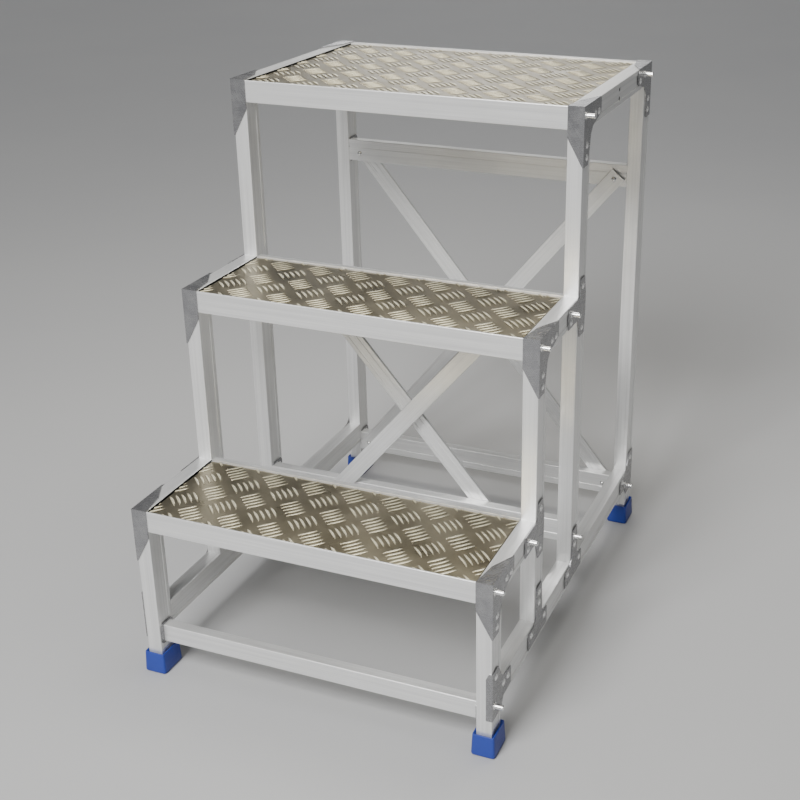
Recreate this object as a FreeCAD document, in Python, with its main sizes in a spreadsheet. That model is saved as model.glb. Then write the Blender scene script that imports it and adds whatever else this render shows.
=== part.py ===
import FreeCAD, Part
import math
import os
import re
import Sketcher

# Free-standing aluminium mounting block with three treads.
# Part frame: +X to the user's right, +Y towards the back (the high side), +Z up.
# The origin is on the ground in the middle of the footprint. All sizes are in millimetres.

DIMENSIONS = {
    # overall
    "overall_width": 600,
    "tread_rise": 300,
    "tread_going": 190,
    "deck_depth": 400,
    # leg tube and channel sections
    "leg_width": 25,
    "leg_depth": 38,
    "channel_wall": 2.5,
    "channel_lip": 6,
    "corner_radius": 1.2,
    "flute_depth": 0.8,
    "flute_margin": 8,
    # tread frames and plates
    "frame_height": 36,
    "front_rail_depth": 24,
    "plate_thickness": 3,
    "plate_gap": 2,
    "plate_recess": 2.5,
    "rear_lip": 10,
    "deck_rear_flange": 12,
    "rear_ledge": 12,
    "deck_hole_radius": 4,
    "deck_hole_pitch": 16,
    # base and cross rails
    "base_rail_bottom": 76,
    "base_rail_height": 40,
    "cross_rail_height": 40,
    "cross_rail_depth": 18,
    "cross_rail_inset": 1,
    "front_rail_height": 31,
    "front_rail_bottom": 55,
    "front_rail_inset": 10,
    "middle_rail_bottom": 155,
    "rear_rail_bottom": 58,
    "upper_rail_bottom": 682,
    "groove_width": 2.4,
    "groove_depth": 1,
    "groove_rise": 14,
    # diagonal braces
    "brace_width": 30,
    "brace_depth": 6,
    "brace_wall": 2,
    "brace_end": 12,
    "brace_groove_edge": 7.5,
    "brace_groove_width": 1.6,
    "brace_groove_depth": 0.8,
    "rear_brace_foot_spread": 253,
    "rear_brace_head_spread": 253,
    "rear_brace_foot": 78,
    "rear_brace_head": 696,
    "middle_brace_foot_spread": 137,
    "middle_brace_head_spread": 196,
    "middle_brace_foot": 180,
    "middle_brace_head": 572,
    # riveted sheet gussets
    "sheet": 1.5,
    "corner_arm_back": 88,
    "corner_arm_down": 92,
    "corner_front_drop": 47,
    "corner_top_inner": 45,
    "corner_top_trim": 4,
    "corner_top_short": 7,
    "arm_end": 24,
    "arm_chamfer": 10,
    "arm_inner": 36,
    "junction_arm": 52,
    "junction_up": 28,
    "junction_down": 68,
    "junction_row": 27,
    "base_arm_back": 78,
    "base_arm_top": 148,
    "base_arm_bottom": 64,
    "base_return": 9,
    "base_arm_dip": 2,
    "rail_margin_low": 6,
    "rail_margin_high": 4,
    "tee_front": 30,
    "tee_back": 60,
    "tee_top": 176,
    "rivet_edge": 13,
    "rivet_pitch": 19,
    "rivet_row": 20,
    "rivet_shift": 4,
    "base_rivet_shift": 2,
    "pin_edge": 6,
    "rear_pin_edge": 46,
    # fasteners
    "rivet_shank": 2.4,
    "rivet_head": 5.5,
    "rivet_height": 2,
    "pin_radius": 4,
    "pin_length": 15,
    "pin_chamfer": 1,
    "pin_collar": 6,
    "pin_collar_height": 1,
    "brace_bolt_shank": 2.5,
    "brace_bolt_head": 5,
    "brace_bolt_height": 3,
    # feet
    "foot_height": 37,
    "foot_floor": 4,
    "foot_wall": 5,
    "foot_flare": 2,
    "foot_gap": 0.6,
    "foot_radius": 3,
}

NEAR = 0.01
TREADS = (1, 2, 3)
SIDES = {"left": -1, "right": 1}
PINNED_SIDE = SIDES["right"]
NODE_FOLDER = "parts"

doc = FreeCAD.newDocument("mounting_block")
sheet = doc.addObject("Spreadsheet::Sheet", "dims")
for row, (alias, size) in enumerate(DIMENSIONS.items(), start=1):
    sheet.set(f"A{row}", alias)
    sheet.set(f"B{row}", str(size))
    sheet.setAlias(f"B{row}", alias)
doc.recompute()

nodes = []


# ---------------------------------------------------------------- shared helpers

def cells(formula):
    """The formula with every dimension's name made a reference to its cell in the sheet."""
    def refer(word):
        name = word.group()
        return "dims." + name if name in DIMENSIONS else name
    return re.sub(r"[a-z]\w*", refer, formula)


def value(formula):
    """The number that a formula of dimensions gives now."""
    return float(sheet.evalExpression(cells(formula)))


def bind(item, name, formula):
    item.setExpression(name, cells(formula))


def place(item, x="0", y="0", z="0", turn=None):
    """Bind an item's position to the sheet; turn is a rotation axis and a formula in degrees."""
    if turn:
        axis, angle = turn
        item.Placement.Rotation = FreeCAD.Rotation(axis, 1)
        bind(item, "Placement.Rotation.Angle", angle)
    bind(item, "Placement.Base.x", x)
    bind(item, "Placement.Base.y", y)
    bind(item, "Placement.Base.z", z)


def new_body(label):
    body = doc.addObject("PartDesign::Body", label)
    body.Label = label
    nodes.append(body)
    return body


def new_sketch(body, plane):
    sketch = body.newObject("Sketcher::SketchObject", body.Name + "_sketch")
    origin_plane = [item for item in body.Origin.OriginFeatures if item.Role == plane][0]
    sketch.AttachmentSupport = [(origin_plane, "")]
    sketch.MapMode = "FlatFace"
    return sketch


def fix_point(sketch, geometry, point, across, up):
    """Hold a sketch point at two formulas measured from the sketch's origin."""
    for kind, formula in (("DistanceX", across), ("DistanceY", up)):
        constraint = Sketcher.Constraint(kind, -1, 1, geometry, point, value(formula))
        index = sketch.addConstraint(constraint)
        bind(sketch, f"Constraints[{index}]", formula)


def draw_outline(sketch, corners):
    """A closed outline of straight lines through corners given as pairs of formulas."""
    points = [FreeCAD.Vector(value(across), value(up), 0) for across, up in corners]
    first = sketch.GeometryCount
    count = len(points)
    for index in range(count):
        sketch.addGeometry(Part.LineSegment(points[index], points[(index + 1) % count]), False)
    for index in range(count):
        following = first + (index + 1) % count
        sketch.addConstraint(Sketcher.Constraint("Coincident", first + index, 2, following, 1))
    for index, (across, up) in enumerate(corners):
        fix_point(sketch, first + index, 1, across, up)


def draw_circle(sketch, across, up, radius):
    centre = FreeCAD.Vector(value(across), value(up), 0)
    circle = sketch.addGeometry(Part.Circle(centre, FreeCAD.Vector(0, 0, 1), value(radius)), False)
    fix_point(sketch, circle, 3, across, up)
    index = sketch.addConstraint(Sketcher.Constraint("Radius", circle, value(radius)))
    bind(sketch, f"Constraints[{index}]", radius)


def pad(body, sketch, length, backwards=False):
    feature = body.newObject("PartDesign::Pad", body.Name + "_pad")
    feature.Profile = sketch
    feature.Reversed = backwards
    bind(feature, "Length", length)
    return feature


def drill(body, plane, centres, radius):
    """Cut round holes straight through the body, both ways from one of its origin planes."""
    before = body.Shape.Volume
    sketch = new_sketch(body, plane)
    for across, up in centres:
        draw_circle(sketch, across, up, radius)
    pocket = body.newObject("PartDesign::Pocket", body.Name + "_holes")
    pocket.Profile = sketch
    pocket.Type = "ThroughAll"
    pocket.Midplane = True
    doc.recompute()
    if body.Shape.Volume >= before:
        raise ValueError(body.Label + ": the holes cut nothing")


def fillet_edges(body, radius, wanted):
    """Round the edges of the body's tip that the test wanted(edge) picks."""
    doc.recompute()
    tip = body.Tip
    names = [f"Edge{number}" for number, edge in enumerate(tip.Shape.Edges, start=1) if wanted(edge)]
    feature = body.newObject("PartDesign::Fillet", body.Name + "_fillet")
    feature.Base = (tip, names)
    bind(feature, "Radius", radius)
    return feature


def outer_run(body):
    """A test for the long edges on the four corners of the box around an extrusion."""
    doc.recompute()
    box = body.Tip.Shape.BoundBox
    lows = (box.XMin, box.YMin, box.ZMin)
    highs = (box.XMax, box.YMax, box.ZMax)
    run = max(range(3), key=lambda axis: highs[axis] - lows[axis])

    def wanted(edge):
        start, end = (vertex.Point for vertex in edge.Vertexes)
        if abs(end[run] - start[run]) < highs[run] - lows[run] - NEAR:
            return False
        across = [axis for axis in range(3) if axis != run]
        return all(min(abs(start[axis] - lows[axis]), abs(start[axis] - highs[axis])) < NEAR
                   for axis in across)
    return wanted


# ---------------------------------------------------------------- extruded lengths

def plain_channel(width, depth):
    """Lipped channel: closed web on the first axis's zero side, open at width."""
    wall, lip = "channel_wall", "channel_lip"
    return [
        ("0", "0"),
        (width, "0"),
        (width, lip),
        (f"{width} - {wall}", lip),
        (f"{width} - {wall}", wall),
        (wall, wall),
        (wall, f"{depth} - {wall}"),
        (f"{width} - {wall}", f"{depth} - {wall}"),
        (f"{width} - {wall}", f"{depth} - {lip}"),
        (width, f"{depth} - {lip}"),
        (width, depth),
        ("0", depth),
    ]


def open_channel(width, depth):
    """Channel without lips: closed web on the first axis's zero side, open at width."""
    wall = "channel_wall"
    return [
        ("0", "0"),
        (width, "0"),
        (width, wall),
        (wall, wall),
        (wall, f"{depth} - {wall}"),
        (width, f"{depth} - {wall}"),
        (width, depth),
        ("0", depth),
    ]


def flute(depth):
    """The last points of a section whose side at zero has one wide shallow flute between two rims."""
    high_edge = f"{depth} - flute_margin"
    return [("0", high_edge), ("flute_depth", high_edge),
            ("flute_depth", "flute_margin"), ("0", "flute_margin")]


def fluted_tube(width, depth):
    """The outer outline of a closed tube with a flute along its inner and outer sides."""
    high_edge, sunk = f"{depth} - flute_margin", f"{width} - flute_depth"
    return [
        ("0", "0"),
        (width, "0"),
        (width, "flute_margin"),
        (sunk, "flute_margin"),
        (sunk, high_edge),
        (width, high_edge),
        (width, depth),
        ("0", depth),
    ] + flute(depth)


def tube_bore(width, depth):
    wall = "channel_wall"
    far, high = f"{width} - {wall}", f"{depth} - {wall}"
    return [(wall, wall), (far, wall), (far, high), (wall, high)]


def grooved_channel(width, height, groove_centre):
    """The channel of the cross rails: its front face has one narrow groove along it."""
    high_edge = f"{groove_centre} + groove_width / 2"
    low_edge = f"{groove_centre} - groove_width / 2"
    groove = [("0", high_edge), ("groove_depth", high_edge),
              ("groove_depth", low_edge), ("0", low_edge)]
    return plain_channel(width, height) + groove


def extrusion(label, plane, outline, length, bore=None):
    """A straight length of one section, running along +X, +Y or +Z from its origin plane."""
    body = new_body(label)
    sketch = new_sketch(body, plane)
    draw_outline(sketch, outline)
    if bore:
        draw_outline(sketch, bore)
    pad(body, sketch, length, backwards=plane == "XZ_Plane")
    fillet_edges(body, "corner_radius", outer_run(body))
    return body


def place_by_side(body, side, start, run, z):
    """Put a length that was drawn for the left side on either side; run is its size along Y."""
    if side < 0:
        place(body, "-overall_width / 2", start, z)
    else:
        half_turn = (FreeCAD.Vector(0, 0, 1), "180")
        place(body, "overall_width / 2", f"{start} + {run}", z, half_turn)


front_face = "-(tread_going + deck_depth / 2)"
back_face = "(tread_going + deck_depth / 2)"


def tread_front(tread):
    """Y of the front face of a tread, which is also the front of the legs under it."""
    return f"({front_face} + {tread - 1} * tread_going)"


def tread_back(tread):
    return back_face if tread == TREADS[-1] else tread_front(tread + 1)


def tread_top(tread):
    return f"({tread} * tread_rise)"


base_rail_top = "(base_rail_bottom + base_rail_height)"
plate_seat = "(frame_height - plate_recess - plate_thickness)"
arm_low = "(base_rail_bottom + rail_margin_low)"
arm_high = f"({base_rail_top} - rail_margin_high)"
inner_width = "(overall_width - 2 * leg_width)"

LEG_NAMES = {1: "front_leg", 2: "second_leg", 3: "third_leg"}
REAR_LEG_FRONT = f"({back_face} - leg_depth)"


def make_leg(label, side, front, bottom, tread):
    """A leg from its bottom up to the underside of the side rail of its tread."""
    top = f"({tread_top(tread)} - frame_height)"
    size = ("leg_width", "leg_depth")
    leg = extrusion(label, "XY_Plane", fluted_tube(*size), f"{top} - {bottom}", tube_bore(*size))
    place_by_side(leg, side, front, "leg_depth", bottom)


def make_legs():
    """The front and rear legs stand in the feet, the two pairs between them on the base rails."""
    for name, side in SIDES.items():
        for tread in TREADS:
            bottom = "foot_floor" if tread == 1 else base_rail_top
            make_leg(f"{LEG_NAMES[tread]}_{name}", side, tread_front(tread), bottom, tread)
        make_leg(f"rear_leg_{name}", side, REAR_LEG_FRONT, "foot_floor", TREADS[-1])


def make_base_rails():
    for name, side in SIDES.items():
        length = f"({REAR_LEG_FRONT} - {front_face} - leg_depth)"
        size = ("leg_width", "base_rail_height")
        rail = extrusion(f"base_rail_{name}", "XZ_Plane", fluted_tube(*size), length, tube_bore(*size))
        place_by_side(rail, side, f"({front_face} + leg_depth)", length, "base_rail_bottom")


def bolt_points(frame, end):
    """Where the two crossing braces of a frame are bolted at their foot or head: pairs of X and Z."""
    spread = f"{frame}_brace_{end}_spread"
    level = f"{frame}_brace_{end}"
    return [("-" + spread, level), (spread, level)]


def drill_for_braces(rail, bottom, points):
    """Drill a rail, whose own origin is its left lower end, for the bolts of the braces on it."""
    centres = [(f"{across} + {inner_width} / 2", f"{level} - {bottom}") for across, level in points]
    drill(rail, "XZ_Plane", centres, "brace_bolt_shank")


def make_cross_rail(label, section, front, bottom, inset="cross_rail_inset"):
    """A rail across the block between two legs, open at its back, set back from the legs' fronts."""
    rail = extrusion(label, "YZ_Plane", section, inner_width)
    place(rail, f"-{inner_width} / 2", f"{front} + {inset}", bottom)
    return rail


def make_cross_rails():
    """The lower front rail is plain; the braced rails have a groove low down, or high on the upper one."""
    depth, height = "cross_rail_depth", "cross_rail_height"
    low = grooved_channel(depth, height, "groove_rise")
    high = grooved_channel(depth, height, f"{height} - groove_rise")
    make_cross_rail("lower_front_rail", plain_channel(depth, "front_rail_height"),
                    front_face, "front_rail_bottom", "front_rail_inset")
    rail = make_cross_rail("middle_lower_rail", low, tread_front(3), "middle_rail_bottom")
    drill_for_braces(rail, "middle_rail_bottom", bolt_points("middle", "foot"))
    rail = make_cross_rail("rear_lower_rail", low, REAR_LEG_FRONT, "rear_rail_bottom")
    drill_for_braces(rail, "rear_rail_bottom", bolt_points("rear", "foot"))
    rail = make_cross_rail("rear_upper_rail", high, REAR_LEG_FRONT, "upper_rail_bottom")
    drill_for_braces(rail, "upper_rail_bottom", bolt_points("rear", "head"))


# ---------------------------------------------------------------- diagonal braces

BRACE_FRAMES = {"middle": tread_front(3), "rear": REAR_LEG_FRONT}
BRACE_LEANS = {"rising": 1, "falling": -1}


def brace_front(frame, lean):
    """Y of a brace's front face: the rising one is in front of the rails, the falling one behind."""
    rail_front = f"{BRACE_FRAMES[frame]} + cross_rail_inset"
    if lean > 0:
        return f"({rail_front} - brace_depth)"
    return f"({rail_front} + cross_rail_depth)"


def brace_section():
    """A shallow channel open at its back, with two narrow grooves along its front face."""
    half, wall, depth = "brace_width / 2", "brace_wall", "brace_depth"
    outer, sunk = f"({half} - brace_groove_edge)", "brace_groove_depth"
    inner = f"({outer} - brace_groove_width)"
    return [
        (f"-{half}", "0"),
        (f"-{outer}", "0"),
        (f"-{outer}", sunk),
        (f"-{inner}", sunk),
        (f"-{inner}", "0"),
        (inner, "0"),
        (inner, sunk),
        (outer, sunk),
        (outer, "0"),
        (half, "0"),
        (half, depth),
        (f"{half} - {wall}", depth),
        (f"{half} - {wall}", wall),
        (f"-{half} + {wall}", wall),
        (f"-{half} + {wall}", depth),
        (f"-{half}", depth),
    ]


def make_brace(frame, name, lean):
    """A length from its foot bolt to its head bolt, with brace_end of metal past each bolt."""
    foot, head = f"{frame}_brace_foot", f"{frame}_brace_head"
    run = f"({foot}_spread + {head}_spread)"
    rise = f"({head} - {foot})"
    angle = f"atan({run} / {rise})"
    span = f"sqrt({run}^2 + {rise}^2)"
    length = f"{span} + 2 * brace_end"
    brace = extrusion(f"{frame}_brace_{name}", "XY_Plane", brace_section(), length)
    drill(brace, "XZ_Plane", [("0", "brace_end"), ("0", f"brace_end + {span}")], "brace_bolt_shank")
    turn = (FreeCAD.Vector(0, lean, 0), angle)
    start_x = f"{-lean} * ({foot}_spread + brace_end * sin({angle}))"
    start_z = f"{foot} - brace_end * cos({angle})"
    place(brace, start_x, brace_front(frame, lean), start_z, turn)


def make_braces():
    for frame in BRACE_FRAMES:
        for name, lean in BRACE_LEANS.items():
            make_brace(frame, name, lean)


# ---------------------------------------------------------------- treads

def rear_rail_front(tread):
    """Y of the upright web of a tread's rear rail."""
    if tread == TREADS[-1]:
        return f"({back_face} - deck_rear_flange)"
    return f"({tread_back(tread)} + cross_rail_inset)"


def make_tread_front_rail(tread):
    """A channel open at its back, whose web rises past the seat of the plate to the tread's top."""
    depth, wall, lip, top = "front_rail_depth", "channel_wall", "channel_lip", "frame_height"
    section = [
        ("0", "0"),
        (depth, "0"),
        (depth, lip),
        (f"{depth} - {wall}", lip),
        (f"{depth} - {wall}", wall),
        (wall, wall),
        (wall, f"{plate_seat} - {wall}"),
        (f"{depth} - {wall}", f"{plate_seat} - {wall}"),
        (f"{depth} - {wall}", f"{plate_seat} - {lip}"),
        (depth, f"{plate_seat} - {lip}"),
        (depth, plate_seat),
        (wall, plate_seat),
        (wall, top),
        ("0", top),
    ]
    rail = extrusion(f"tread_front_rail_{tread}", "YZ_Plane", section, inner_width)
    place(rail, f"-{inner_width} / 2", tread_front(tread), f"{tread_top(tread)} - frame_height")


def make_tread_rear_rail(tread):
    """An upright web with a lip at the tread's top, and a ledge that carries the plate."""
    flange = "deck_rear_flange" if tread == TREADS[-1] else "cross_rail_depth"
    lip = "deck_rear_flange" if tread == TREADS[-1] else "rear_lip"
    wall, top = "channel_wall", "frame_height"
    section = [
        ("0", "0"),
        (flange, "0"),
        (flange, wall),
        (wall, wall),
        (wall, f"{top} - {wall}"),
        (lip, f"{top} - {wall}"),
        (lip, top),
        ("0", top),
        ("0", plate_seat),
        ("-rear_ledge", plate_seat),
        ("-rear_ledge", f"{plate_seat} - {wall}"),
        ("0", f"{plate_seat} - {wall}"),
    ]
    rail = new_body(f"tread_rear_rail_{tread}")
    sketch = new_sketch(rail, "YZ_Plane")
    draw_outline(sketch, section)
    pad(rail, sketch, inner_width)
    doc.recompute()
    bottom = f"({tread_top(tread)} - frame_height)"
    if tread == 2:
        drill_for_braces(rail, bottom, bolt_points("middle", "head"))
    place(rail, f"-{inner_width} / 2", rear_rail_front(tread), bottom)


def make_tread_side_rails(tread):
    """The two rails beside a tread's plate; those of the deck have a pair of holes half way along."""
    length = f"({tread_back(tread)} - {tread_front(tread)})"
    holes = [(f"{length} / 2", f"(frame_height {sign} deck_hole_pitch) / 2") for sign in "-+"]
    for name, side in SIDES.items():
        section = open_channel("leg_width", "frame_height") + flute("frame_height")
        rail = extrusion(f"tread_side_rail_{name}_{tread}", "XZ_Plane", section, length)
        if tread == TREADS[-1]:
            drill(rail, "YZ_Plane", holes, "deck_hole_radius")
        place_by_side(rail, side, tread_front(tread), length, f"{tread_top(tread)} - frame_height")


def make_tread_plate(tread):
    """The plate lies sunk in its frame, on the front rail and the rear ledge, with a gap all round."""
    plate = new_body(f"tread_plate_{tread}")
    sketch = new_sketch(plate, "XY_Plane")
    half = f"({inner_width} / 2 - plate_gap)"
    front = f"({tread_front(tread)} + channel_wall + plate_gap)"
    depth = f"({rear_rail_front(tread)} - {front} - plate_gap)"
    draw_outline(sketch, [(f"-{half}", "0"), (half, "0"), (half, depth), (f"-{half}", depth)])
    pad(plate, sketch, "plate_thickness")
    place(plate, "0", front, f"{tread_top(tread)} - frame_height + {plate_seat}")


def make_treads():
    for tread in TREADS:
        make_tread_front_rail(tread)
        make_tread_rear_rail(tread)
        make_tread_side_rails(tread)
        make_tread_plate(tread)


# ---------------------------------------------------------------- gussets

rivet_sites = []
pin_sites = []


def sheet_face(body, plane, outline, backwards, holes=()):
    """One flat face of a gusset, drawn on an origin plane and one sheet thickness out from it."""
    sketch = new_sketch(body, plane)
    draw_outline(sketch, outline)
    for across, up, radius in holes:
        draw_circle(sketch, across, up, radius)
    pad(body, sketch, "sheet", backwards)


def side_face(body, side, y, direction, z, outline, rivets, pins):
    """The face against the outer side of the frame; y is where the outline's first axis starts.

    Rivets and pins are pairs of formulas in the outline's own axes. Only one side has its pins.
    """
    if side != PINNED_SIDE:
        pins = []

    def flip(across):
        return f"{direction} * ({across})"
    holes = [(flip(across), up, "rivet_shank") for across, up in rivets]
    holes += [(flip(across), up, "pin_radius") for across, up in pins]
    turned = [(flip(across), up) for across, up in outline]
    sheet_face(body, "YZ_Plane", turned, side < 0, holes)
    for sites, points in ((rivet_sites, rivets), (pin_sites, pins)):
        for across, up in points:
            sites.append((side, f"{y} + {flip(across)}", f"{z} + {up}"))


def end_face(body, side, direction, outline):
    """The face bent round a leg's end; its outline starts at the outer side and goes inwards."""
    turned = [(f"{side} * ({across})", up) for across, up in outline]
    sheet_face(body, "XZ_Plane", turned, direction < 0)


def place_gusset(body, side, y, z):
    place(body, f"{side} * overall_width / 2", y, z)


def pin_across(direction):
    """How far a corner's pin is from the corner: close to it at the front, along the arm at the back."""
    return "pin_edge" if direction > 0 else "rear_pin_edge"


def make_corner_gusset(label, side, corner, direction, tread):
    """Three faces round a tread's outer corner: along the side, down the leg's end, over the top."""
    body = new_body(label)
    top = tread_top(tread)
    back, down = "corner_arm_back", "corner_arm_down"
    outline = [
        ("0", "0"),
        (back, "0"),
        (back, "-arm_end"),
        ("arm_inner + arm_chamfer", "-frame_height"),
        ("arm_inner", "-(frame_height + arm_chamfer)"),
        ("arm_end", f"-{down}"),
        ("0", f"-{down}"),
    ]
    rivets = [
        (f"{back} - rivet_edge", "-rivet_row"),
        ("arm_end / 2 + rivet_shift", f"-({down} - rivet_edge)"),
        ("arm_end / 2 + rivet_shift", f"-({down} - rivet_edge - rivet_pitch)"),
    ]
    if direction > 0:
        rivets.append((f"{back} - rivet_edge - rivet_pitch", "-rivet_row"))
    pins = [(pin_across(direction), "-rivet_edge")]
    side_face(body, side, corner, direction, top, outline, rivets, pins)
    end_face(body, side, direction, [
        ("sheet", "sheet"),
        ("-leg_width", "sheet"),
        ("-leg_width", "-corner_front_drop"),
        ("0", f"-{down}"),
        ("sheet", f"-{down}"),
    ])
    over = [
        ("sheet", "0"),
        ("sheet", f"{back} - corner_top_trim"),
        ("-(leg_width - corner_top_short)", "corner_top_inner"),
        ("-leg_width", "0"),
    ]
    turned = [(f"{side} * ({across})", f"{direction} * ({along})") for across, along in over]
    sheet_face(body, "XY_Plane", turned, False)
    place_gusset(body, side, corner, top)


def make_junction_gusset(label, side, tread):
    """The flat plate where a tread's side rail meets the next leg."""
    body = new_body(label)
    leg, top = tread_front(tread + 1), tread_top(tread)
    arm, up, down = "junction_arm", "junction_up", "junction_down"
    middle = "leg_depth / 2"
    outline = [
        (f"-{arm}", "0"),
        (f"-{arm}", "-frame_height"),
        ("-arm_chamfer / 2", "-frame_height"),
        (f"{middle} - arm_end / 2", f"-{down}"),
        (f"{middle} + arm_end / 2", f"-{down}"),
        ("arm_inner", "-frame_height"),
        ("arm_inner", "0"),
        (f"{middle} + arm_chamfer", up),
        (f"{middle} - arm_chamfer", up),
        ("arm_chamfer / 2", "0"),
    ]
    rivets = [
        (f"-({arm} - rivet_edge)", "-junction_row"),
        (middle, f"{up} - rivet_edge"),
        (middle, f"-({down} - rivet_edge)"),
    ]
    pins = [(f"-({arm} - rivet_edge)", "-rivet_edge")]
    side_face(body, side, leg, 1, top, outline, rivets, pins)
    place_gusset(body, side, leg, top)


def make_base_gusset(label, side, corner, direction):
    """The plate where a base rail meets a corner leg; the pinned ones have a return round the leg's end."""
    body = new_body(label)
    top, bottom = "base_arm_top", "base_arm_bottom"
    rail_row = f"({base_rail_top} - rivet_edge)"
    outline = [
        ("0", bottom),
        ("arm_inner", bottom),
        ("arm_inner + arm_chamfer", f"{arm_low} - base_arm_dip"),
        ("base_arm_back", arm_low),
        ("base_arm_back", arm_high),
        ("arm_inner + arm_chamfer", base_rail_top),
        ("arm_inner", f"{base_rail_top} + arm_chamfer"),
        ("arm_end", top),
        ("0", top),
    ]
    rivets = [
        ("arm_end / 2 + base_rivet_shift", f"{top} - rivet_edge"),
        ("base_arm_back - rivet_edge", rail_row),
    ]
    if direction > 0:
        rivets.append(("base_arm_back - rivet_edge - rivet_pitch", rail_row))
    pins = [(pin_across(direction), "base_rail_bottom + rivet_edge")]
    side_face(body, side, corner, direction, "0", outline, rivets, pins)
    if side == PINNED_SIDE:
        end_face(body, side, direction, [
            ("sheet", bottom),
            ("sheet", top),
            ("-base_return / 2", top),
            ("-base_return", f"{top} - arm_chamfer"),
            ("-base_return", bottom),
        ])
    place_gusset(body, side, corner, "0")


def make_tee_gusset(label, side, tread, with_pin):
    """The flat tee where an inner leg stands on the base rail."""
    body = new_body(label)
    leg = tread_front(tread)
    middle = "leg_depth / 2"
    rail_row, top_row = f"({base_rail_top} - rivet_edge)", "tee_top - rivet_edge"
    outline = [
        ("-tee_front", arm_low),
        ("tee_back", arm_low),
        ("tee_back", arm_high),
        ("arm_inner + arm_chamfer", arm_high),
        ("arm_inner", f"{arm_high} + arm_chamfer"),
        (f"{middle} + arm_end / 2", "tee_top"),
        (f"{middle} - arm_end / 2", "tee_top"),
        ("arm_chamfer / 2", f"{arm_high} + arm_chamfer"),
        ("-arm_chamfer / 2", arm_high),
        ("-tee_front", arm_high),
    ]
    rivets = [
        (middle, f"{top_row} - rivet_pitch"),
        ("-(tee_front - rivet_edge)", rail_row),
        ("tee_back - rivet_edge", rail_row),
    ]
    pins = [("rivet_edge", top_row)] if with_pin else []
    if not with_pin or side != PINNED_SIDE:
        rivets.append((middle, top_row))
    side_face(body, side, leg, 1, "0", outline, rivets, pins)
    place_gusset(body, side, leg, "0")


def make_gussets():
    for name, side in SIDES.items():
        for tread in TREADS:
            make_corner_gusset(f"corner_gusset_{name}_{tread}", side, tread_front(tread), 1, tread)
        make_corner_gusset(f"rear_corner_gusset_{name}", side, back_face, -1, TREADS[-1])
        for tread in TREADS[:-1]:
            make_junction_gusset(f"junction_gusset_{name}_{tread}", side, tread)
        make_base_gusset(f"front_base_gusset_{name}", side, front_face, 1)
        make_base_gusset(f"rear_base_gusset_{name}", side, back_face, -1)
        for tread in TREADS[1:]:
            make_tee_gusset(f"tee_gusset_{name}_{tread}", side, tread, with_pin=tread == 3)


# ---------------------------------------------------------------- fasteners

def lathed(profile):
    """The solid of revolution about Z of a closed half profile, a list of edges in the XZ plane."""
    face = Part.Face(Part.Wire(profile))
    return face.revolve(FreeCAD.Vector(0, 0, 0), FreeCAD.Vector(0, 0, 1), 360)


def lines(points):
    vectors = [FreeCAD.Vector(radius, 0, height) for radius, height in points]
    return [Part.LineSegment(start, end).toShape() for start, end in zip(vectors, vectors[1:])]


def domed(shank_radius, shank_length, head_radius, head_height):
    """A fastener along +Z: shank from zero up to its seat, then a domed head above the seat."""
    top = shank_length + head_height
    sphere = (head_radius ** 2 + head_height ** 2) / (2 * head_height)
    half_angle = math.asin(head_radius / sphere) / 2
    shoulder = FreeCAD.Vector(sphere * math.sin(half_angle), 0,
                              top - sphere * (1 - math.cos(half_angle)))
    rim, crown = FreeCAD.Vector(head_radius, 0, shank_length), FreeCAD.Vector(0, 0, top)
    outline = lines([(0, 0), (shank_radius, 0), (shank_radius, shank_length),
                     (head_radius, shank_length)])
    outline.append(Part.Arc(rim, shoulder, crown).toShape())
    outline += lines([(0, top), (0, 0)])
    return lathed(outline)


def make_rivet():
    return domed(value("rivet_shank"), value("sheet"), value("rivet_head"), value("rivet_height"))


def make_pin():
    """A short round pin with a collar against the gusset and a chamfered tip."""
    radius, seat = value("pin_radius"), value("sheet")
    collar, collar_top = value("pin_collar"), value("sheet + pin_collar_height")
    tip = value("sheet + pin_length")
    chamfer = value("pin_chamfer")
    return lathed(lines([
        (0, 0),
        (radius, 0),
        (radius, seat),
        (collar, seat),
        (collar, collar_top),
        (radius, collar_top),
        (radius, tip - chamfer),
        (radius - chamfer, tip),
        (0, tip),
        (0, 0),
    ]))


def add_group(label, solids):
    """Identical fasteners in one node, each a solid of its own."""
    group = doc.addObject("Part::Feature", label)
    group.Label = label
    group.Shape = Part.makeCompound(solids)
    group.Placement = FreeCAD.Placement()
    nodes.append(group)


def aimed(shape, direction, x, y, z):
    """A copy of a shape that was made along +Z from zero, pointed along direction from a place."""
    rotation = FreeCAD.Rotation(FreeCAD.Vector(0, 0, 1), direction)
    placed = shape.copy()
    placed.Placement = FreeCAD.Placement(FreeCAD.Vector(x, y, z), rotation)
    return placed


def side_group(label, shape, sites):
    solids = []
    for side, y, z in sites:
        outwards = FreeCAD.Vector(side, 0, 0)
        solids.append(aimed(shape, outwards, value(f"{side} * overall_width / 2"), value(y), value(z)))
    add_group(label, solids)


def brace_bolts():
    """A bolt through each end of each brace and the rail it lies on, headed towards the front."""
    forwards = FreeCAD.Vector(0, -1, 0)
    solids = []
    for frame in BRACE_FRAMES:
        rail_front = f"({BRACE_FRAMES[frame]} + cross_rail_inset)"
        for name, lean in BRACE_LEANS.items():
            if lean > 0:
                seat, length = brace_front(frame, lean), "brace_depth + channel_wall"
            else:
                seat, length = rail_front, "cross_rail_depth + brace_wall"
            bolt = domed(value("brace_bolt_shank"), value(length),
                         value("brace_bolt_head"), value("brace_bolt_height"))
            foot, head = f"{frame}_brace_foot", f"{frame}_brace_head"
            for across, level in ((f"{-lean} * {foot}_spread", foot), (f"{lean} * {head}_spread", head)):
                far_end = value(f"{seat} + {length}")
                solids.append(aimed(bolt, forwards, value(across), far_end, value(level)))
    return solids


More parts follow.
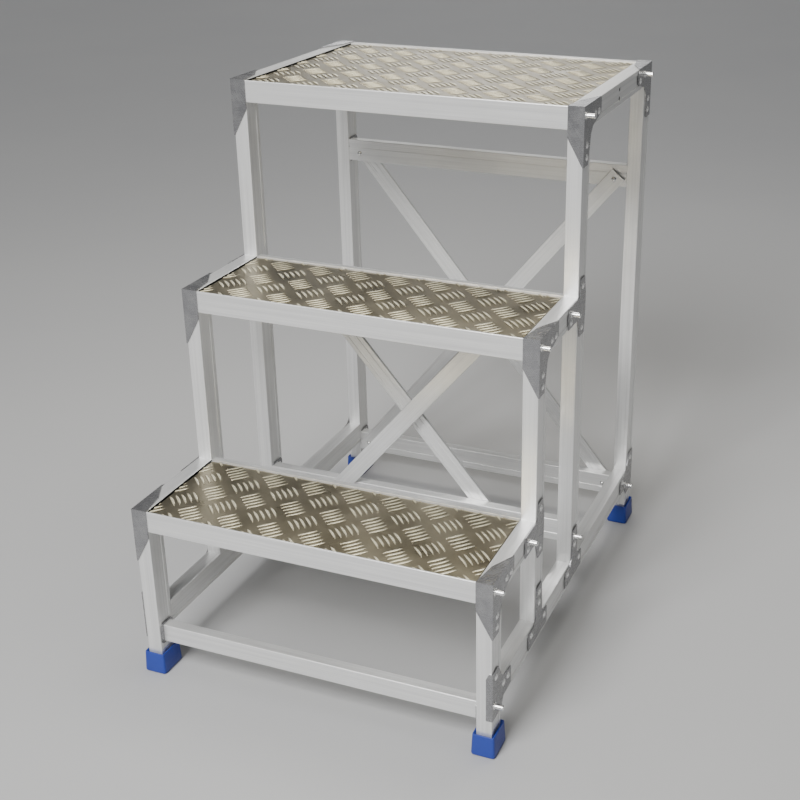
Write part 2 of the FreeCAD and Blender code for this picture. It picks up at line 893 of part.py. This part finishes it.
def make_fasteners():
    side_group("blind_rivets", make_rivet(), rivet_sites)
    side_group("side_pins", make_pin(), pin_sites)
    add_group("brace_bolts", brace_bolts())


# ---------------------------------------------------------------- feet

def make_foot(label, side, leg_front):
    """A plastic cap round the end of a leg, a little wider at the ground, with a pocket for the leg."""
    foot = new_body(label)
    half_width = "(leg_width / 2 + foot_wall + foot_flare)"
    half_depth = "(leg_depth / 2 + foot_wall + foot_flare)"
    sketch = new_sketch(foot, "XY_Plane")
    draw_outline(sketch, [(f"-{half_width}", f"-{half_depth}"), (half_width, f"-{half_depth}"),
                          (half_width, half_depth), (f"-{half_width}", half_depth)])
    block = pad(foot, sketch, "foot_height")
    bind(block, "TaperAngle", "-atan(foot_flare / foot_height)")

    def upright(edge):
        start, end = (vertex.Point for vertex in edge.Vertexes)
        return abs(end.z - start.z) > value("foot_height") - NEAR
    fillet_edges(foot, "foot_radius", upright)
    half_slot, half_length = "(leg_width / 2 + foot_gap)", "(leg_depth / 2 + foot_gap)"
    slot = new_sketch(foot, "XY_Plane")
    bind(slot, "AttachmentOffset.Base.z", "foot_floor")
    draw_outline(slot, [(f"-{half_slot}", f"-{half_length}"), (half_slot, f"-{half_length}"),
                        (half_slot, half_length), (f"-{half_slot}", half_length)])
    doc.recompute()
    before = foot.Shape.Volume
    pocket = foot.newObject("PartDesign::Pocket", foot.Name + "_pocket")
    pocket.Profile = slot
    pocket.Reversed = True
    bind(pocket, "Length", "foot_height")
    doc.recompute()
    if foot.Shape.Volume >= before:
        raise ValueError(label + ": the pocket cut nothing")
    place(foot, f"{side} * (overall_width / 2 - leg_width / 2)", f"{leg_front} + leg_depth / 2", "0")


def make_feet():
    for name, side in SIDES.items():
        make_foot(f"front_foot_{name}", side, front_face)
        make_foot(f"rear_foot_{name}", side, REAR_LEG_FRONT)


# ---------------------------------------------------------------- build, check and write

make_legs()
make_base_rails()
make_cross_rails()
make_braces()
make_treads()
make_gussets()
make_fasteners()
make_feet()
doc.recompute()

failed = [item.Label for item in doc.Objects if {"Invalid", "Error"} & set(item.State)]
if failed:
    raise ValueError("features failed: " + ", ".join(failed))
for node in nodes:
    if node.Shape.isNull() or not node.Shape.isValid() or not node.Shape.Solids:
        raise ValueError(node.Label + ": bad shape")

os.makedirs(NODE_FOLDER, exist_ok=True)
for node in nodes:
    node.Shape.exportStep(os.path.join(NODE_FOLDER, node.Label + ".step"))
print(len(nodes), "nodes,", sum(len(node.Shape.Solids) for node in nodes), "solids")
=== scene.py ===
import math

import bmesh
import bpy
from mathutils import Matrix, Vector


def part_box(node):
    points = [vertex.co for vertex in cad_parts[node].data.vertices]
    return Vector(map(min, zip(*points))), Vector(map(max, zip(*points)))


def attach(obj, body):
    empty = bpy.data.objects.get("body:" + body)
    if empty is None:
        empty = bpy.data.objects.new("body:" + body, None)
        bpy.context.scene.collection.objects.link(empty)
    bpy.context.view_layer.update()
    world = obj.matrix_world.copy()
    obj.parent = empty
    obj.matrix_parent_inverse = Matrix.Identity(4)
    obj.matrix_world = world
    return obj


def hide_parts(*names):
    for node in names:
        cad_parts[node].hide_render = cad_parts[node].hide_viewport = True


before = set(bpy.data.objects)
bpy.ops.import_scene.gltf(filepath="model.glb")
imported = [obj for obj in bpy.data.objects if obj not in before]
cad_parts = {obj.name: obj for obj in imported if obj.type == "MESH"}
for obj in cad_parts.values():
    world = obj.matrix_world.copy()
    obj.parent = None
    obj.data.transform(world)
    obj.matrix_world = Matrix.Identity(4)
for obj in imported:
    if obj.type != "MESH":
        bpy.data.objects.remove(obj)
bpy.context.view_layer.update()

MM = 0.001
TREADS = (1, 2, 3)
SIDES = {"left": -1, "right": 1}


# ---------------------------------------------------------------- camera and studio

SENSOR_WIDTH = 36.0
LENS = 58.455
LENS_SHIFT = (-0.10, -0.05)
CAMERA_PLACE = (0.844, -1.849, 1.309)
CAMERA_DOWN = 23.08
CAMERA_TURN = 21.09
CLIP_END = 100

SURROUND = (0.80, 0.82, 0.85)
SURROUND_STRENGTH = 0.12
TOP_LIGHT_COLOUR = (1, 0.97, 0.90)
FLOOR_REACH = 12
FLOOR_DROP = 0.5 * MM


def make_camera():
    """Stands to the front right of the block at chest height, with a little lens shift."""
    data = bpy.data.cameras.new("camera")
    data.sensor_width = SENSOR_WIDTH
    data.lens = LENS
    data.shift_x, data.shift_y = LENS_SHIFT
    data.clip_end = CLIP_END
    camera = bpy.data.objects.new("camera", data)
    bpy.context.collection.objects.link(camera)
    camera.location = CAMERA_PLACE
    camera.rotation_euler = (math.radians(90 - CAMERA_DOWN), 0, math.radians(CAMERA_TURN))
    bpy.context.scene.camera = camera


def make_area_light(name, location, target, size, power, colour=(1, 1, 1)):
    data = bpy.data.lights.new(name, "AREA")
    data.shape = "RECTANGLE"
    data.size, data.size_y = size
    data.energy = power
    data.color = colour
    light = bpy.data.objects.new(name, data)
    bpy.context.collection.objects.link(light)
    light.location = location
    aim = Vector(target) - Vector(location)
    light.rotation_euler = aim.to_track_quat("-Z", "Y").to_euler()


def make_soft_sun(name, elevation, azimuth, spread, strength):
    """An even light from far away; azimuth is in degrees from the front towards the right."""
    data = bpy.data.lights.new(name, "SUN")
    data.angle = math.radians(spread)
    data.energy = strength
    light = bpy.data.objects.new(name, data)
    bpy.context.collection.objects.link(light)
    light.rotation_euler = (math.radians(90 - elevation), 0, math.radians(azimuth))


def make_surround():
    world = bpy.data.worlds.new("studio")
    bpy.context.scene.world = world
    world.use_nodes = True
    background = world.node_tree.nodes["Background"]
    background.inputs["Color"].default_value = (*SURROUND, 1)
    background.inputs["Strength"].default_value = SURROUND_STRENGTH


def make_floor():
    """A wide sheet just under the feet, so that the two never share a plane."""
    mesh = bpy.data.meshes.new("floor")
    reach = FLOOR_REACH
    corners = [(-reach, -reach, 0), (reach, -reach, 0), (reach, reach, 0), (-reach, reach, 0)]
    mesh.from_pydata(corners, [], [(0, 1, 2, 3)])
    floor = bpy.data.objects.new("floor", mesh)
    bpy.context.collection.objects.link(floor)
    floor.location.z = -FLOOR_DROP
    mesh.materials.append(floor_material())


def make_studio():
    """A pale floor, a dim surround, two soft suns and two softboxes."""
    make_soft_sun("front", elevation=36, azimuth=-6, spread=25, strength=2.0)
    make_soft_sun("sheen", elevation=7, azimuth=201, spread=16, strength=0.16)
    make_area_light("key", location=(-0.2, -1.9, 2.3), target=(0, 0, 0.8), size=(0.9, 0.9), power=60)
    make_area_light("top", location=(0.2, 0.6, 2.6), target=(0, 0.2, 0.9), size=(1.4, 1.4), power=30,
                    colour=TOP_LIGHT_COLOUR)
    make_surround()
    make_floor()


# ---------------------------------------------------------------- material building blocks

class Graph:
    """A new material with a Principled surface, and short calls for the nodes that feed it."""

    def __init__(self, name, base, metallic, roughness):
        self.material = bpy.data.materials.new(name)
        self.material.use_nodes = True
        self.nodes = self.material.node_tree.nodes
        self.links = self.material.node_tree.links
        self.surface = self.nodes["Principled BSDF"]
        self.surface.inputs["Base Color"].default_value = (*base, 1)
        self.surface.inputs["Metallic"].default_value = metallic
        self.surface.inputs["Roughness"].default_value = roughness
        self.material.diffuse_color = (*base, 1)
        self.place = self.nodes.new("ShaderNodeTexCoord").outputs["Object"]

    def axes(self):
        """The object's own coordinates, as the outputs X, Y and Z."""
        node = self.nodes.new("ShaderNodeSeparateXYZ")
        self.links.new(self.place, node.inputs["Vector"])
        return node.outputs

    def mapped(self, scale, rotation=(0, 0, 0)):
        """The object's own coordinates, turned first and then scaled along the turned axes."""
        turned = self.nodes.new("ShaderNodeMapping")
        turned.inputs["Rotation"].default_value = rotation
        self.links.new(self.place, turned.inputs["Vector"])
        scaled = self.nodes.new("ShaderNodeMapping")
        scaled.inputs["Scale"].default_value = scale
        self.links.new(turned.outputs["Vector"], scaled.inputs["Vector"])
        return scaled.outputs["Vector"]

    def noise(self, vector, scale=1.0, detail=3.0, roughness=0.5):
        node = self.nodes.new("ShaderNodeTexNoise")
        node.inputs["Scale"].default_value = scale
        node.inputs["Detail"].default_value = detail
        node.inputs["Roughness"].default_value = roughness
        self.links.new(vector, node.inputs["Vector"])
        return node.outputs["Fac"]

    def ranged(self, source, result, within=(0.3, 0.7)):
        """The source remapped so that the two values in within give the two in result."""
        node = self.nodes.new("ShaderNodeMapRange")
        node.inputs["From Min"].default_value, node.inputs["From Max"].default_value = within
        node.inputs["To Min"].default_value, node.inputs["To Max"].default_value = result
        self.links.new(source, node.inputs["Value"])
        return node.outputs["Result"]

    def mixed(self, factor, first, second):
        """A colour between two, each a colour or another node's output."""
        node = self.nodes.new("ShaderNodeMix")
        node.data_type = "RGBA"
        self.links.new(factor, node.inputs["Factor"])
        for socket, colour in (("A", first), ("B", second)):
            slot = [item for item in node.inputs if item.name == socket and item.type == "RGBA"][0]
            if isinstance(colour, tuple):
                slot.default_value = (*colour, 1)
            else:
                self.links.new(colour, slot)
        return [item for item in node.outputs if item.type == "RGBA"][0]

    def combined(self, operation, first, second=0.0):
        """One arithmetic step on numbers or other nodes' outputs."""
        node = self.nodes.new("ShaderNodeMath")
        node.operation = operation
        for socket, source in zip(node.inputs, (first, second)):
            if isinstance(source, (int, float)):
                socket.default_value = source
            else:
                self.links.new(source, socket)
        return node.outputs["Value"]

    def bump(self, height, strength, distance):
        """Relief on top of any relief that the surface already has."""
        node = self.nodes.new("ShaderNodeBump")
        node.inputs["Strength"].default_value = strength
        node.inputs["Distance"].default_value = distance
        previous = self.surface.inputs["Normal"]
        if previous.is_linked:
            self.links.new(previous.links[0].from_socket, node.inputs["Normal"])
        self.links.new(height, node.inputs["Height"])
        self.links.new(node.outputs["Normal"], self.surface.inputs["Normal"])

    def feed(self, socket, source):
        self.links.new(source, self.surface.inputs[socket])


# ---------------------------------------------------------------- materials

FLOOR_DARK = (0.485, 0.485, 0.49)
FLOOR_LIGHT = (0.52, 0.52, 0.515)
ALUMINIUM_DULL = (0.82, 0.82, 0.81)
ALUMINIUM_BRIGHT = (0.96, 0.96, 0.95)
ALUMINIUM_STREAKED = (0.66, 0.66, 0.66)
ALUMINIUM_HANDLED = (0.74, 0.74, 0.73)
# near-black painted shade, laid on the inner faces of the side rails' channels
PAINTED_SHADE = (0.016, 0.016, 0.014)
PLATE_DARK = (0.38, 0.335, 0.235)
PLATE_LIGHT = (0.55, 0.495, 0.37)
# bar tops: partly polish from wear, partly painted highlight
PLATE_POLISH_AND_HIGHLIGHT = (0.97, 0.90, 0.66)
STEEL_DARK = (0.26, 0.26, 0.27)
STEEL_LIGHT = (0.36, 0.36, 0.365)
RIVET_DARK = (0.90, 0.90, 0.89)
RIVET_LIGHT = (0.98, 0.98, 0.97)
ZINC_DARK = (0.80, 0.80, 0.79)
ZINC_LIGHT = (0.92, 0.92, 0.91)
BLUE_DARK = (0.018, 0.040, 0.27)
BLUE_LIGHT = (0.026, 0.058, 0.36)
BLUE_SCUFFED = (0.07, 0.12, 0.46)

FINE_RELIEF = 0.1 * MM
RELIEF = 0.2 * MM
# how far in from the outer skin and from the top and bottom edges the painted shade begins
UNSHADED_SKIN = 2 * MM
UNSHADED_EDGE = (0.2 * MM, 0.6 * MM)
# the heights at which the bars' colour takes over, from the flats to the bar tops
POLISH_AND_HIGHLIGHT_FROM = (0.3 * MM, 0.9 * MM)


def floor_material():
    graph = Graph("studio_floor", (0.50, 0.50, 0.51), metallic=0.0, roughness=0.7)
    cloud = graph.noise(graph.place, scale=1.5)
    graph.feed("Base Color", graph.mixed(cloud, FLOOR_DARK, FLOOR_LIGHT))
    return graph.material


def painted_shade_inside_rails(graph):
    """Where shade is painted: on the side rails' inner faces, not on their tops, webs and undersides."""
    low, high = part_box("tread_side_rail_right_1")
    rise, height = high[2], high[2] - low[2]
    place = graph.axes()
    tread = graph.combined("ROUND", graph.combined("DIVIDE", place["Z"], rise))
    depth = graph.combined("SUBTRACT", graph.combined("MULTIPLY", tread, rise), place["Z"])
    across = graph.combined("ABSOLUTE", place["X"])
    inside = graph.ranged(across, (1.0, 0.0), (high[0] - UNSHADED_SKIN, high[0] - UNSHADED_SKIN / 2))
    below = graph.ranged(depth, (0.0, 1.0), UNSHADED_EDGE)
    above = graph.ranged(depth, (1.0, 0.0), (height - UNSHADED_SKIN, height - UNSHADED_SKIN / 2))
    return graph.combined("MULTIPLY", inside, graph.combined("MULTIPLY", below, above))


def extruded_aluminium(name, tilt, painted_shade_inside=False):
    """Satin aluminium with faint handling marks, and painted shade on the side rails' inner faces when
    asked; the tilt lays its drawing lines along Z.
    """
    graph = Graph(name, (0.90, 0.90, 0.89), metallic=0.6, roughness=0.40)
    lines = graph.noise(graph.mapped((700, 700, 4), tilt), detail=4.0, roughness=0.65)
    streaks = graph.noise(graph.mapped((150, 150, 2), tilt), roughness=0.6)
    handling = graph.noise(graph.place, scale=9.0, detail=4.0, roughness=0.6)
    specks = graph.noise(graph.place, scale=260.0, detail=2.0)
    tone = graph.mixed(graph.ranged(lines, (0.0, 1.0)), ALUMINIUM_DULL, ALUMINIUM_BRIGHT)
    streaked = graph.ranged(streaks, (0.0, 0.5), within=(0.45, 0.72))
    tone = graph.mixed(streaked, tone, ALUMINIUM_STREAKED)
    handled = graph.ranged(handling, (0.0, 0.35), within=(0.45, 0.75))
    tone = graph.mixed(handled, tone, ALUMINIUM_HANDLED)
    # painted shade: the side rails' inner faces turned near black, standing in for shadow inside the
    # channels
    if painted_shade_inside:
        tone = graph.mixed(painted_shade_inside_rails(graph), tone, PAINTED_SHADE)
    graph.feed("Base Color", tone)
    graph.feed("Roughness", graph.combined("ADD", graph.ranged(lines, (0.28, 0.44)),
                                           graph.ranged(handling, (-0.03, 0.08))))
    graph.bump(lines, strength=0.10, distance=RELIEF)
    graph.bump(specks, strength=0.04, distance=RELIEF)
    return graph.material


def chequer_aluminium():
    """Rolled plate, warm grey and dull between the bars; the bars are near white, partly polish where
    boots wear them and partly painted highlight.
    """
    graph = Graph("chequer_aluminium", (0.60, 0.56, 0.46), metallic=1.0, roughness=0.34)
    raised = graph.ranged(graph.axes()["Z"], (0.0, 1.0), within=POLISH_AND_HIGHLIGHT_FROM)
    grain = graph.noise(graph.mapped((40, 900, 40)), roughness=0.6)
    stains = graph.noise(graph.place, scale=14.0, detail=5.0, roughness=0.6)
    flat = graph.mixed(graph.ranged(stains, (0.0, 1.0)), PLATE_DARK, PLATE_LIGHT)
    # bar tops: near-white colour and less metal, partly wear polish and partly painted highlight
    graph.feed("Base Color", graph.mixed(raised, flat, PLATE_POLISH_AND_HIGHLIGHT))
    graph.feed("Metallic", graph.ranged(raised, (1.0, 0.5), within=(0.0, 1.0)))
    rough = graph.combined("ADD", graph.ranged(stains, (0.26, 0.42)), graph.ranged(grain, (-0.04, 0.06)))
    polish = graph.combined("MULTIPLY", raised, 0.08)
    graph.feed("Roughness", graph.combined("SUBTRACT", rough, polish))
    graph.bump(grain, strength=0.12, distance=RELIEF)
    return graph.material


def polished_steel():
    """Grey stainless sheet with fine crossed scratches and finger marks."""
    graph = Graph("polished_steel", (0.33, 0.33, 0.34), metallic=0.75, roughness=0.22)
    first = graph.noise(graph.mapped((30, 30, 900), (0.3, 0.2, 0)))
    second = graph.noise(graph.mapped((900, 25, 25), (0, 0.6, 0.4)))
    scratches = graph.combined("MULTIPLY", first, second)
    marks = graph.noise(graph.place, scale=45.0, detail=4.0, roughness=0.6)
    graph.feed("Base Color", graph.mixed(graph.ranged(marks, (0.0, 1.0)), STEEL_DARK, STEEL_LIGHT))
    scratched = graph.ranged(scratches, (0.14, 0.30), within=(0.1, 0.4))
    graph.feed("Roughness", graph.combined("ADD", scratched, graph.ranged(marks, (0.0, 0.10))))
    graph.bump(scratches, strength=0.10, distance=FINE_RELIEF)
    return graph.material


def bright_rivet():
    graph = Graph("bright_rivet", (0.95, 0.95, 0.94), metallic=0.5, roughness=0.24)
    marks = graph.noise(graph.place, scale=400.0)
    graph.feed("Base Color", graph.mixed(marks, RIVET_DARK, RIVET_LIGHT))
    graph.feed("Roughness", graph.ranged(marks, (0.18, 0.34)))
    graph.bump(marks, strength=0.15, distance=RELIEF)
    return graph.material


def zinc_bolt():
    """Smooth plated steel, a little uneven where it has been handled."""
    graph = Graph("zinc_bolt", (0.86, 0.86, 0.85), metallic=1.0, roughness=0.24)
    marks = graph.noise(graph.place, scale=300.0)
    graph.feed("Base Color", graph.mixed(marks, ZINC_DARK, ZINC_LIGHT))
    graph.feed("Roughness", graph.ranged(marks, (0.20, 0.32)))
    graph.bump(marks, strength=0.10, distance=FINE_RELIEF)
    return graph.material


def blue_plastic():
    """Moulded plastic with a fine grain, a slow change of tone and scattered scuffs."""
    graph = Graph("blue_plastic", (0.022, 0.049, 0.31), metallic=0.0, roughness=0.42)
    graph.surface.inputs["Specular IOR Level"].default_value = 0.45
    grain = graph.noise(graph.place, scale=900.0, detail=2.0)
    tone = graph.noise(graph.place, scale=30.0)
    scuffs = graph.noise(graph.mapped((60, 60, 260)), detail=5.0, roughness=0.7)
    scuffed = graph.ranged(scuffs, (0.0, 0.5), within=(0.60, 0.80))
    base = graph.mixed(tone, BLUE_DARK, BLUE_LIGHT)
    graph.feed("Base Color", graph.mixed(scuffed, base, BLUE_SCUFFED))
    graph.feed("Roughness", graph.ranged(scuffs, (0.34, 0.58)))
    graph.bump(grain, strength=0.12, distance=RELIEF)
    return graph.material


# ---------------------------------------------------------------- CAD nodes

QUARTER_TURN = math.radians(90)


def brace_tilt(node):
    """The turn that lays a brace's long axis along Z, from the box round it."""
    low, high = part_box(node)
    lean = math.atan2(high[0] - low[0], high[2] - low[2])
    return (0, -lean if node.endswith("rising") else lean, 0)


def paint_nodes(steel, rivet):
    """Give every CAD node that stays its material; each has one slot."""
    upright = extruded_aluminium("aluminium_upright", (0, 0, 0))
    lengthwise = extruded_aluminium("aluminium_lengthwise", (QUARTER_TURN, 0, 0))
    # this rail material carries painted shade on its inner faces
    side_rail = extruded_aluminium("aluminium_side_rail", (QUARTER_TURN, 0, 0), painted_shade_inside=True)
    crosswise = extruded_aluminium("aluminium_crosswise", (0, QUARTER_TURN, 0))
    bolt = zinc_bolt()
    for name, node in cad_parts.items():
        slot = node.material_slots[0]
        if "gusset" in name:
            slot.material = steel
        elif name == "blind_rivets":
            slot.material = rivet
        elif name in ("side_pins", "brace_bolts"):
            slot.material = bolt
        elif "brace_" in name:
            slot.material = extruded_aluminium("aluminium_" + name, brace_tilt(name))
        elif "leg" in name:
            slot.material = upright
        elif "base_rail" in name:
            slot.material = lengthwise
        elif "side_rail" in name:
            slot.material = side_rail
        elif "rail" in name:
            slot.material = crosswise


# ---------------------------------------------------------------- pieces made here

def join_rings(mesh, rings, smooth):
    """Faces between each closed ring of points and the next."""
    for ring, following in zip(rings, rings[1:]):
        for index in range(len(ring)):
            after = (index + 1) % len(ring)
            face = mesh.faces.new((ring[index], ring[after], following[after], following[index]))
            face.smooth = smooth


def finish_piece(work, name, material):
    """Turn a finished bmesh into an object with one material that rides on the root body."""
    bmesh.ops.recalc_face_normals(work, faces=work.faces[:])
    mesh = bpy.data.meshes.new(name)
    work.to_mesh(mesh)
    work.free()
    mesh.materials.append(material)
    piece = bpy.data.objects.new(name, mesh)
    bpy.context.collection.objects.link(piece)
    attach(piece, "root")
    return piece


# ---------------------------------------------------------------- chequer plates

CELL = 50 * MM
BARS = 5
BAR_PITCH = 9.2 * MM
BAR_LENGTH = 36 * MM
BAR_WIDTH = 5.6 * MM
BAR_HEIGHT = 1.1 * MM
BAR_BOW = 1.6 * MM
BAR_BLUNT = 0.03
BAR_STEPS = 10
BAR_STRIPS = 6
SUNK = 0.2 * MM
SHEET_ROUND = 0.4 * MM
CUT_TOLERANCE = 1e-7


def bar_rings(mesh, centre, turn):
    """Rows of points across a bar's rounded back, from one tip to the other."""
    rings = []
    for step in range(BAR_STEPS + 1):
        along = step / BAR_STEPS * 2 - 1
        fullness = math.sqrt(max(0.0, 1 - along * along)) * (1 - BAR_BLUNT) + BAR_BLUNT
        bow = BAR_BOW * (1 - along * along)
        ring = []
        for side in range(BAR_STRIPS + 1):
            across = side / BAR_STRIPS * 2 - 1
            lift = math.sqrt(max(0.0, 1 - across * across)) * fullness
            point = Vector((bow + across * BAR_WIDTH / 2 * fullness, along * BAR_LENGTH / 2,
                            BAR_HEIGHT * lift - SUNK * (1 - lift)))
            ring.append(mesh.verts.new(centre + turn @ point))
        rings.append(ring)
    return rings


def add_bar(mesh, centre, turn):
    """One raised bar: a slender lens, bowed sideways, with a rounded back, closed underneath."""
    rings = bar_rings(mesh, centre, turn)
    for ring, following in zip(rings, rings[1:]):
        for side in range(BAR_STRIPS):
            corners = (ring[side], ring[side + 1], following[side + 1], following[side])
            mesh.faces.new(corners).smooth = True
        mesh.faces.new((ring[0], following[0], following[-1], ring[-1]))
    mesh.faces.new(list(reversed(rings[0])))
    mesh.faces.new(rings[-1])


def add_bar_groups(mesh, low, high):
    """Groups of bars on a diagonal grid, each group square to its neighbours."""
    pitch = CELL / math.sqrt(2)
    middle = (Vector(low) + Vector(high)) / 2
    half = (Vector(high) - Vector(low)) / 2
    columns, rows = int(half.x / pitch) + 2, int(half.y / pitch) + 2
    for column in range(-columns, columns + 1):
        for row in range(-rows, rows + 1):
            if (column + row) % 2:
                continue
            centre = Vector((middle.x + column * pitch, middle.y + row * pitch, 0))
            turn = Matrix.Rotation(math.radians(45 if column % 2 else -45), 4, "Z")
            across = turn @ Vector((1, 0, 0))
            for bar in range(BARS):
                offset = (bar - (BARS - 1) / 2) * BAR_PITCH
                add_bar(mesh, centre + across * offset, turn)


def trim(mesh, low, high):
    """Cut off what lies outside the plate's four edges, and close the cut bars."""
    for axis in (0, 1):
        for limit, outward in ((low[axis], -1), (high[axis], 1)):
            normal = Vector((0, 0, 0))
            normal[axis] = outward
            origin = Vector((0, 0, 0))
            origin[axis] = limit
            everything = mesh.verts[:] + mesh.edges[:] + mesh.faces[:]
            cut = bmesh.ops.bisect_plane(mesh, geom=everything, dist=CUT_TOLERANCE,
                                         plane_co=origin, plane_no=normal, clear_outer=True)
            edges = [item for item in cut["geom_cut"] if isinstance(item, bmesh.types.BMEdge)]
            bmesh.ops.holes_fill(mesh, edges=edges, sides=0)


def add_sheet(mesh, low, high):
    """The flat sheet under the bars, with its edges slightly rounded by the shears."""
    result = bmesh.ops.create_cube(mesh, size=1)
    size = Vector(high) - Vector(low)
    for vertex in result["verts"]:
        vertex.co = Vector((vertex.co.x * size.x + (low[0] + high[0]) / 2,
                            vertex.co.y * size.y + (low[1] + high[1]) / 2,
                            (vertex.co.z - 0.5) * size.z))
    edges = {edge for vertex in result["verts"] for edge in vertex.link_edges}
    bmesh.ops.bevel(mesh, geom=list(edges), offset=SHEET_ROUND, segments=2, affect="EDGES")


def make_chequer_plate(tread, material):
    node = f"tread_plate_{tread}"
    low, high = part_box(node)
    work = bmesh.new()
    add_bar_groups(work, low, high)
    trim(work, low, high)
    add_sheet(work, low, high)
    plate = finish_piece(work, f"chequer_plate_{tread}", material)
    plate.location.z = high[2]
    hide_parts(node)


# ---------------------------------------------------------------- feet

FOOT_FLARE = 2 * MM
FOOT_CORNER = 5 * MM
FOOT_SOLE_ROUND = 3 * MM
FOOT_RIM_ROUND = 1 * MM
FOOT_WALL = 4.2 * MM
FOOT_FLOOR = 4 * MM
ROUND_STEPS = 5


def rounded_outline(mesh, half_width, half_depth, radius, height):
    """A ring of points round a rectangle with round corners, at one height."""
    ring = []
    for quarter, (sign_x, sign_y) in enumerate(((1, 1), (-1, 1), (-1, -1), (1, -1))):
        for step in range(ROUND_STEPS + 1):
            angle = math.pi / 2 * (quarter + step / ROUND_STEPS)
            ring.append(mesh.verts.new((sign_x * (half_width - radius) + radius * math.cos(angle),
                                        sign_y * (half_depth - radius) + radius * math.sin(angle),
                                        height)))
    return ring


def foot_profile(height):
    """Pairs of inset and height up the outside, over the rim and down the inside of a foot."""
    profile = []
    for step in range(ROUND_STEPS + 1):
        angle = math.pi / 2 * step / ROUND_STEPS
        inset = FOOT_SOLE_ROUND * (1 - math.sin(angle))
        profile.append((inset, FOOT_SOLE_ROUND * (1 - math.cos(angle))))
    for step in range(ROUND_STEPS + 1):
        angle = math.pi * step / ROUND_STEPS
        inset = FOOT_FLARE + FOOT_RIM_ROUND * (1 - math.cos(angle))
        profile.append((inset, height - FOOT_RIM_ROUND * (1 - math.sin(angle))))
    profile.append((FOOT_FLARE + FOOT_WALL, height - 2 * FOOT_RIM_ROUND))
    profile.append((FOOT_FLARE + FOOT_WALL, FOOT_FLOOR))
    return profile


def make_foot(node, material):
    """A moulded cap with round corners, a soft edge at the ground and a rounded rim."""
    low, high = (Vector(corner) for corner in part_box(node))
    half = (high - low) / 2
    work = bmesh.new()
    rings = []
    for inset, height in foot_profile(high.z - low.z):
        radius = max(FOOT_CORNER - inset, FOOT_RIM_ROUND)
        rings.append(rounded_outline(work, half.x - inset, half.y - inset, radius, height))
    join_rings(work, rings, smooth=True)
    work.faces.new(list(reversed(rings[0])))
    work.faces.new(rings[-1])
    piece = finish_piece(work, f"moulded_{node}", material)
    piece.location = (low.x + half.x, low.y + half.y, low.z)
    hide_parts(node)


# ---------------------------------------------------------------- rail brackets

CROSS_RAILS = {"lower_front_rail": "front_leg", "middle_lower_rail": "third_leg",
               "rear_lower_rail": "rear_leg", "rear_upper_rail": "rear_leg"}
BRACKET_SHEET = 1.5 * MM
BRACKET_RISE = 3 * MM
BRACKET_MARGIN = 2 * MM
BRACKET_CUT = 5 * MM
BRACKET_BEVEL = 0.4 * MM
RIVET_EDGE = 9 * MM
RIVET_RADIUS = 3.2 * MM
RIVET_HEIGHT = 1.4 * MM
RIVET_STEPS = 16
RIVET_RINGS = 4


def add_bracket_plate(mesh, inner_x, side, low, high):
    """A sheet with cut corners flat against a leg's inner side; low and high are its Y and Z."""
    cut = BRACKET_CUT
    outline = [(low[0] + cut, low[1]), (high[0] - cut, low[1]), (high[0], low[1] + cut),
               (high[0], high[1] - cut), (high[0] - cut, high[1]), (low[0] + cut, high[1]),
               (low[0], high[1] - cut), (low[0], low[1] + cut)]
    against = [mesh.verts.new((inner_x, y, z)) for y, z in outline]
    proud = [mesh.verts.new((inner_x - side * BRACKET_SHEET, y, z)) for y, z in outline]
    face = mesh.faces.new(proud)
    mesh.faces.new(list(reversed(against)))
    join_rings(mesh, [against, proud], smooth=False)
    bmesh.ops.bevel(mesh, geom=list(face.edges), offset=BRACKET_BEVEL, segments=2, affect="EDGES")


def add_rivet(mesh, seat_x, side, y, z):
    """A low domed head that stands inwards from a bracket's face."""
    turns = [2 * math.pi * step / RIVET_STEPS for step in range(RIVET_STEPS)]
    rings = []
    for ring in range(RIVET_RINGS):
        lift = math.pi / 2 * ring / RIVET_RINGS
        radius, height = RIVET_RADIUS * math.cos(lift), RIVET_HEIGHT * math.sin(lift)
        rings.append([mesh.verts.new((seat_x - side * height, y + radius * math.cos(turn),
                                      z + radius * math.sin(turn))) for turn in turns])
    crown = mesh.verts.new((seat_x - side * RIVET_HEIGHT, y, z))
    join_rings(mesh, rings, smooth=True)
    for step in range(RIVET_STEPS):
        corners = (rings[-1][step], rings[-1][(step + 1) % RIVET_STEPS], crown)
        mesh.faces.new(corners).smooth = True
    mesh.faces.new(list(reversed(rings[0])))


def make_rail_bracket(rail, leg, name, material, rivets):
    """The sheet that ties a cross rail's end to the inner side of a leg; its rivets go into rivets."""
    side = SIDES[name]
    rail_low, rail_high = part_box(rail)
    leg_low, leg_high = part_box(f"{leg}_{name}")
    inner_x = side * rail_high[0]
    low = (leg_low[1] + BRACKET_MARGIN, rail_low[2] - BRACKET_RISE)
    high = (leg_high[1] - BRACKET_MARGIN, rail_high[2] + BRACKET_RISE)
    work = bmesh.new()
    add_bracket_plate(work, inner_x, side, low, high)
    finish_piece(work, f"rail_bracket_{rail}_{name}", material)
    for z in (low[1] + RIVET_EDGE, high[1] - RIVET_EDGE):
        add_rivet(rivets, inner_x - side * BRACKET_SHEET, side, (rail_high[1] + high[0]) / 2, z)


def make_rail_brackets(steel, rivet):
    rivets = bmesh.new()
    for rail, leg in CROSS_RAILS.items():
        for name in SIDES:
            make_rail_bracket(rail, leg, name, steel, rivets)
    finish_piece(rivets, "bracket_rivets", rivet)


# ---------------------------------------------------------------- build

make_camera()
make_studio()
steel_material, rivet_material = polished_steel(), bright_rivet()
paint_nodes(steel_material, rivet_material)
plate_material, foot_material = chequer_aluminium(), blue_plastic()
for tread in TREADS:
    make_chequer_plate(tread, plate_material)
for node in [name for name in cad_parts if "foot" in name]:
    make_foot(node, foot_material)
make_rail_brackets(steel_material, rivet_material)
